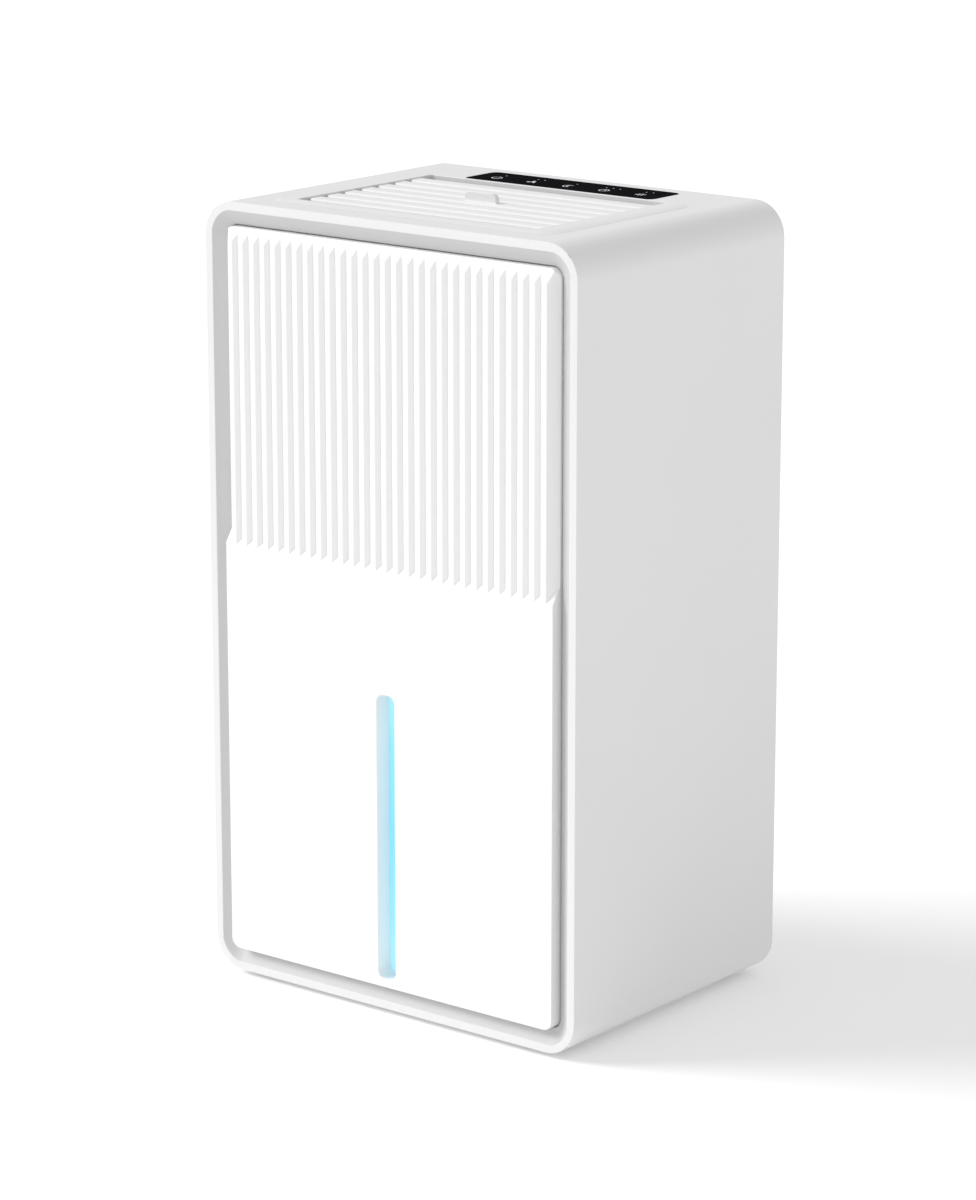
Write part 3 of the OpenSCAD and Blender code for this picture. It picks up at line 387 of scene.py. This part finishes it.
def metal(name, colour, shade, roughness, stretch, scale, centre, relief=0.2):
    """Worked metal, its fine lines running along the axis that stretch leaves long."""
    material = bpy.data.materials.new(name)
    material.use_nodes = True
    tree = material.node_tree
    shader = tree.nodes["Principled BSDF"]
    shader.inputs["Metallic"].default_value = 1
    space = pattern_space(tree, centre)
    space.inputs["Scale"].default_value = stretch
    lines = tree.nodes.new("ShaderNodeTexNoise")
    lines.inputs["Scale"].default_value = scale
    lines.inputs["Detail"].default_value = 4
    tone = tree.nodes.new("ShaderNodeValToRGB")
    tone.color_ramp.elements[0].color = (*shade, 1)
    tone.color_ramp.elements[1].color = (*colour, 1)
    gloss = tree.nodes.new("ShaderNodeMapRange")
    gloss.inputs["To Min"].default_value = roughness - 0.08
    gloss.inputs["To Max"].default_value = roughness + 0.08
    bump = tree.nodes.new("ShaderNodeBump")
    bump.inputs["Strength"].default_value = relief
    bump.inputs["Distance"].default_value = 0.00005
    wire(tree, space, "Vector", lines, "Vector")
    wire(tree, lines, "Fac", tone, "Fac")
    wire(tree, tone, "Color", shader, "Base Color")
    wire(tree, lines, "Fac", gloss, "Value")
    wire(tree, gloss, "Result", shader, "Roughness")
    wire(tree, lines, "Fac", bump, "Height")
    wire(tree, bump, "Normal", shader, "Normal")
    return material


screw_zinc = metal("screw_zinc", (0.66, 0.67, 0.69), (0.5, 0.51, 0.53), 0.32, (1, 1, 1), 900,
                   (0, 0.08, 0.2))
for node in ("rear_screws", "clamp_screws", "fan_screws"):
    finish_node(node, screw_zinc)

# ---- Inlet door and filter ----
# The slotted inlet door tilts out on two pins at its lower edge, and a dimple helps a fingertip pull it.
# A fine nylon mesh in a grey frame clips to its back and catches dust.

inlet_door = moulded_piece("inlet_door", "inlet_grille", 0.00025, 1)
inlet_door.data.materials.append(shell_plastic)
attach(inlet_door, "door")
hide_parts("inlet_door")

filter_low, filter_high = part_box("inlet_filter")
mesh_cloth = bpy.data.materials.new("filter_cloth")
mesh_cloth.use_nodes = True
cloth_tree = mesh_cloth.node_tree
cloth_shader = cloth_tree.nodes["Principled BSDF"]
cloth_shader.inputs["Roughness"].default_value = 0.7
cloth_space = pattern_space(cloth_tree, (filter_low + filter_high) / 2)
threads = []
for direction in ("X", "Z"):
    wave = cloth_tree.nodes.new("ShaderNodeTexWave")
    wave.bands_direction = direction
    wave.inputs["Scale"].default_value = 160
    wire(cloth_tree, cloth_space, "Vector", wave, "Vector")
    threads.append(wave)
weave = cloth_tree.nodes.new("ShaderNodeMath")
weave.operation = "MAXIMUM"
wire(cloth_tree, threads[0], "Fac", weave, 0)
wire(cloth_tree, threads[1], "Fac", weave, 1)
weave_colour = cloth_tree.nodes.new("ShaderNodeValToRGB")
weave_colour.color_ramp.elements[0].position = 0.55
weave_colour.color_ramp.elements[0].color = (0.03, 0.032, 0.036, 1)
weave_colour.color_ramp.elements[1].position = 0.9
weave_colour.color_ramp.elements[1].color = (0.22, 0.23, 0.25, 1)
weave_bump = cloth_tree.nodes.new("ShaderNodeBump")
weave_bump.inputs["Strength"].default_value = 0.6
weave_bump.inputs["Distance"].default_value = 0.0003
wire(cloth_tree, weave, "Value", weave_colour, "Fac")
wire(cloth_tree, weave_colour, "Color", cloth_shader, "Base Color")
wire(cloth_tree, weave, "Value", weave_bump, "Height")
wire(cloth_tree, weave_bump, "Normal", cloth_shader, "Normal")
finish_node("inlet_filter", mesh_cloth)

# ---- Water tank ----
# The tank is a clear moulded box with a grey lid, and its white face fills the opening in the back.
# A pocket in the face is the handle. The float rides on a post under the lid and carries a magnet.

tank_low, tank_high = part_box("tank_body")
tank_mid = (tank_low + tank_high) / 2
tank_face = moulded_piece("tank_face", "tank_front", 0.0004, 2)
tank_face.data.materials.append(shell_plastic)
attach(tank_face, "tank")
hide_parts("tank_face")

clear_plastic = moulded_plastic("clear_plastic", (0.8, 0.88, 0.93), (0.74, 0.84, 0.9), 0.16,
                                relief=0.02, centre=tank_mid)
clear_plastic.node_tree.nodes["Principled BSDF"].inputs["Transmission Weight"].default_value = 0.7
finish_node("tank_body", clear_plastic)
finish_node("tank_lid", grey_plastic)
finish_node("float_clip", grey_plastic)
float_plastic = moulded_plastic("float_foam", (0.85, 0.36, 0.08), (0.72, 0.28, 0.05), 0.75,
                                grain=0.0009, relief=0.5, centre=tank_mid)
finish_node("tank_float", float_plastic)
magnet_metal = metal("magnet_nickel", (0.42, 0.42, 0.44), (0.3, 0.3, 0.32), 0.45, (1, 1, 1), 700, tank_mid)
finish_node("float_magnet", magnet_metal)

# ---- Inner mouldings ----
# A tray with rails guides the tank, and a deck above it carries the machinery and the drip tray.
# They are grey mouldings, and a reed switch under the deck reads the float's magnet.

for node in ("base_tray", "deck", "bulkhead", "fan_duct"):
    finish_node(node, grey_plastic)
drip_plastic = moulded_plastic("drip_plastic", (0.84, 0.85, 0.86), (0.78, 0.79, 0.81), 0.3,
                               centre=(0, 0.04, 0.18))
finish_node("drip_tray", drip_plastic)
finish_node("level_switch", circuit_board("switch_board_green", tank_mid))

# ---- Cooler ----
# Two ceramic modules are clamped between a cold and a hot aluminium heat sink by four screws.
# Black closed-cell foam fills the space round them, so that no moist air reaches them.

cold_low, cold_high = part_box("cold_sink")
cooler_mid = (cold_low + cold_high) / 2
extruded = metal("extruded_aluminium", (0.8, 0.81, 0.82), (0.66, 0.67, 0.69), 0.38, (30, 30, 1), 60,
                 cooler_mid, 0.35)
finish_node("cold_sink", extruded)
finish_node("hot_sink", extruded)
ceramic = moulded_plastic("white_ceramic", (0.86, 0.86, 0.83), (0.8, 0.8, 0.77), 0.5, grain=0.0003,
                          relief=0.2, centre=cooler_mid)
finish_node("cooler_left", ceramic)
finish_node("cooler_right", ceramic)
foam = moulded_plastic("black_foam", (0.028, 0.028, 0.03), (0.014, 0.014, 0.016), 0.92, grain=0.0012,
                       relief=0.9, centre=cooler_mid)
finish_node("foam_gasket", foam)

# ---- Fan ----
# A black axial fan of the standard square pattern blows the dried air up through the outlet.
# Its rotor has seven swept blades round a capped hub, moulded in one piece.

fan_black = moulded_plastic("fan_plastic", (0.022, 0.022, 0.024), (0.014, 0.014, 0.016), 0.42,
                            grain=0.0004, relief=0.15, centre=(0, -0.01, 0.35))
finish_node("fan_frame", fan_black)
rotor_low, rotor_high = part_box("fan_rotor")
rotor_joint = next(j for j in frame["joints"] if j["name"] == "rotor_spin")
rotor_x, rotor_y = rotor_joint["pos_m"][0], rotor_joint["pos_m"][1]
tip_r = (rotor_high.y - rotor_low.y) / 2
hub_r = 0.019
rotor_z = rotor_low.z + 0.001
rotor_h = rotor_high.z - rotor_z
rotor = bmesh.new()
profile = ((hub_r - 0.002, 0), (hub_r, 0), (hub_r, rotor_h - 0.0025), (hub_r - 0.0007, rotor_h - 0.0008),
           (hub_r - 0.0025, rotor_h), (0.006, rotor_h), (0.005, rotor_h - 0.0004), (0, rotor_h - 0.0004))
inside = ((0, rotor_h - 0.0025), (hub_r - 0.002, rotor_h - 0.0025))
ring = [rotor.verts.new((rotor_x + r, rotor_y, rotor_z + z)) for r, z in profile + inside]
hub_edges = [rotor.edges.new((ring[i], ring[i + 1])) for i in range(len(profile) - 1)]
hub_edges.append(rotor.edges.new((ring[len(profile)], ring[len(profile) + 1])))
hub_edges.append(rotor.edges.new((ring[len(profile) + 1], ring[0])))
bmesh.ops.spin(rotor, geom=ring + hub_edges, cent=(rotor_x, rotor_y, 0), axis=(0, 0, 1),
               angle=2 * math.pi, steps=64, use_merge=True)
shaft = bmesh.ops.create_cone(rotor, cap_ends=True, segments=24, radius1=0.0015, radius2=0.0015,
                              depth=rotor_h - 0.002)["verts"]
bmesh.ops.translate(rotor, verts=shaft, vec=(rotor_x, rotor_y, (rotor_low.z + rotor_high.z - 0.002) / 2))
for blade in range(7):
    start = blade * 2 * math.pi / 7
    sheet = bmesh.ops.create_grid(rotor, x_segments=10, y_segments=12, size=0.5)["verts"]
    for vert in sheet:
        along, across = vert.co.x + 0.5, vert.co.y + 0.5
        reach = hub_r - 0.0006 + (tip_r - hub_r + 0.0004) * along
        chord = math.radians(44 - 4 * along)
        angle = start + chord * (across - 0.5) + math.radians(16) * along * along
        rise = 0.001 + (rotor_h - 0.0035) * (across ** 1.15) * (1 - 0.12 * along)
        vert.co = (rotor_x + math.cos(angle) * reach, rotor_y + math.sin(angle) * reach, rotor_z + rise)
    faces = list({f for v in sheet for f in v.link_faces})
    bmesh.ops.solidify(rotor, geom=faces, thickness=0.0013)
bmesh.ops.remove_doubles(rotor, verts=rotor.verts, dist=2e-6)
bmesh.ops.recalc_face_normals(rotor, faces=rotor.faces)
for face in rotor.faces:
    face.smooth = True
rotor_mesh = bpy.data.meshes.new("fan_wheel")
rotor.to_mesh(rotor_mesh)
rotor.free()
rotor_mesh.set_sharp_from_angle(angle=math.radians(38))
fan_wheel = bpy.data.objects.new("fan_wheel", rotor_mesh)
bpy.context.collection.objects.link(fan_wheel)
fan_wheel.data.materials.append(fan_black)
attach(fan_wheel, "rotor")
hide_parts("fan_rotor")
copper = metal("copper_winding", (0.78, 0.36, 0.16), (0.5, 0.2, 0.08), 0.35, (1, 1, 12), 500,
               (0, -0.01, 0.35), 0.6)
finish_node("fan_motor", copper)

# ---- Electrics ----
# The control electronics stand upright beside the hot sink, and a 5.5 mm socket takes the supply.
# A small board in the back reads the air's humidity.

board_low, board_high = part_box("power_board")
finish_node("power_board", circuit_board("power_board_green", (board_low + board_high) / 2))
sensor_low, sensor_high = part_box("humidity_sensor")
finish_node("humidity_sensor", circuit_board("sensor_board_green", (sensor_low + sensor_high) / 2))
socket_black = moulded_plastic("socket_plastic", (0.02, 0.02, 0.022), (0.012, 0.012, 0.014), 0.4)
finish_node("power_jack", socket_black)

# ---- Feet ----
# Four grey rubber pads press into the floor of the shell and keep it off the table.

rubber = moulded_plastic("foot_rubber", (0.1, 0.1, 0.105), (0.07, 0.07, 0.075), 0.8, grain=0.0008,
                         relief=0.4, centre=(0, 0, 0))
for number in range(1, 5):
    foot = moulded_piece(f"foot_{number}", f"rubber_foot_{number}", 0.0003, 2)
    foot.data.materials.append(rubber)
    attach(foot, "casing")
    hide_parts(f"foot_{number}")

# ---- Studio ----
# A wide white floor, a broad soft key from the left and slightly in front, and pale surroundings.

floor_bm = bmesh.new()
bmesh.ops.create_grid(floor_bm, x_segments=1, y_segments=1, size=20)
floor_mesh = bpy.data.meshes.new("studio_floor")
floor_bm.to_mesh(floor_mesh)
floor_bm.free()
floor = bpy.data.objects.new("studio_floor", floor_mesh)
bpy.context.collection.objects.link(floor)
floor_paint = bpy.data.materials.new("floor_paint")
floor_paint.use_nodes = True
paint_tree = floor_paint.node_tree
paint = paint_tree.nodes["Principled BSDF"]
paint.inputs["Roughness"].default_value = 0.85
paint.inputs["Specular IOR Level"].default_value = 0.2
paint_space = pattern_space(paint_tree, (0, 0, 0))
paint_tone = paint_tree.nodes.new("ShaderNodeTexNoise")
paint_tone.inputs["Scale"].default_value = 1.5
paint_ramp = paint_tree.nodes.new("ShaderNodeValToRGB")
paint_ramp.color_ramp.elements[0].color = (0.94, 0.94, 0.94, 1)
paint_ramp.color_ramp.elements[1].color = (0.96, 0.96, 0.96, 1)
wire(paint_tree, paint_space, "Vector", paint_tone, "Vector")
wire(paint_tree, paint_tone, "Fac", paint_ramp, "Fac")
wire(paint_tree, paint_ramp, "Color", paint, "Base Color")
paint.inputs["Emission Color"].default_value = (1, 1, 1, 1)
paint.inputs["Emission Strength"].default_value = 0.14
floor.data.materials.append(floor_paint)

world = bpy.data.worlds.new("studio_air")
world.use_nodes = True
world.node_tree.nodes["Background"].inputs["Color"].default_value = (1, 1, 1, 1)
world.node_tree.nodes["Background"].inputs["Strength"].default_value = 0.67
bpy.context.scene.world = world


key_light = bpy.data.lights.new("left_key", "SUN")
key_light.energy = 1.85
key_light.angle = math.radians(30)
key = bpy.data.objects.new("left_key", key_light)
bpy.context.collection.objects.link(key)
key.location = (-2.2, -1.2, 1.7)
key.rotation_euler = Vector((0.71, 0.42, -0.57)).to_track_quat("-Z", "Y").to_euler()

camera_data = bpy.data.cameras.new("studio_camera")
camera_data.sensor_width = 36
camera_data.lens = 126.2
camera_data.clip_end = 100
camera = bpy.data.objects.new("studio_camera", camera_data)
bpy.context.collection.objects.link(camera)
camera.location = (1.2513, -1.579, 0.7026)
camera.rotation_euler = (math.radians(90 - 14.179), 0, math.radians(38.481))
bpy.context.scene.camera = camera
bpy.context.scene.view_settings.view_transform = "Standard"
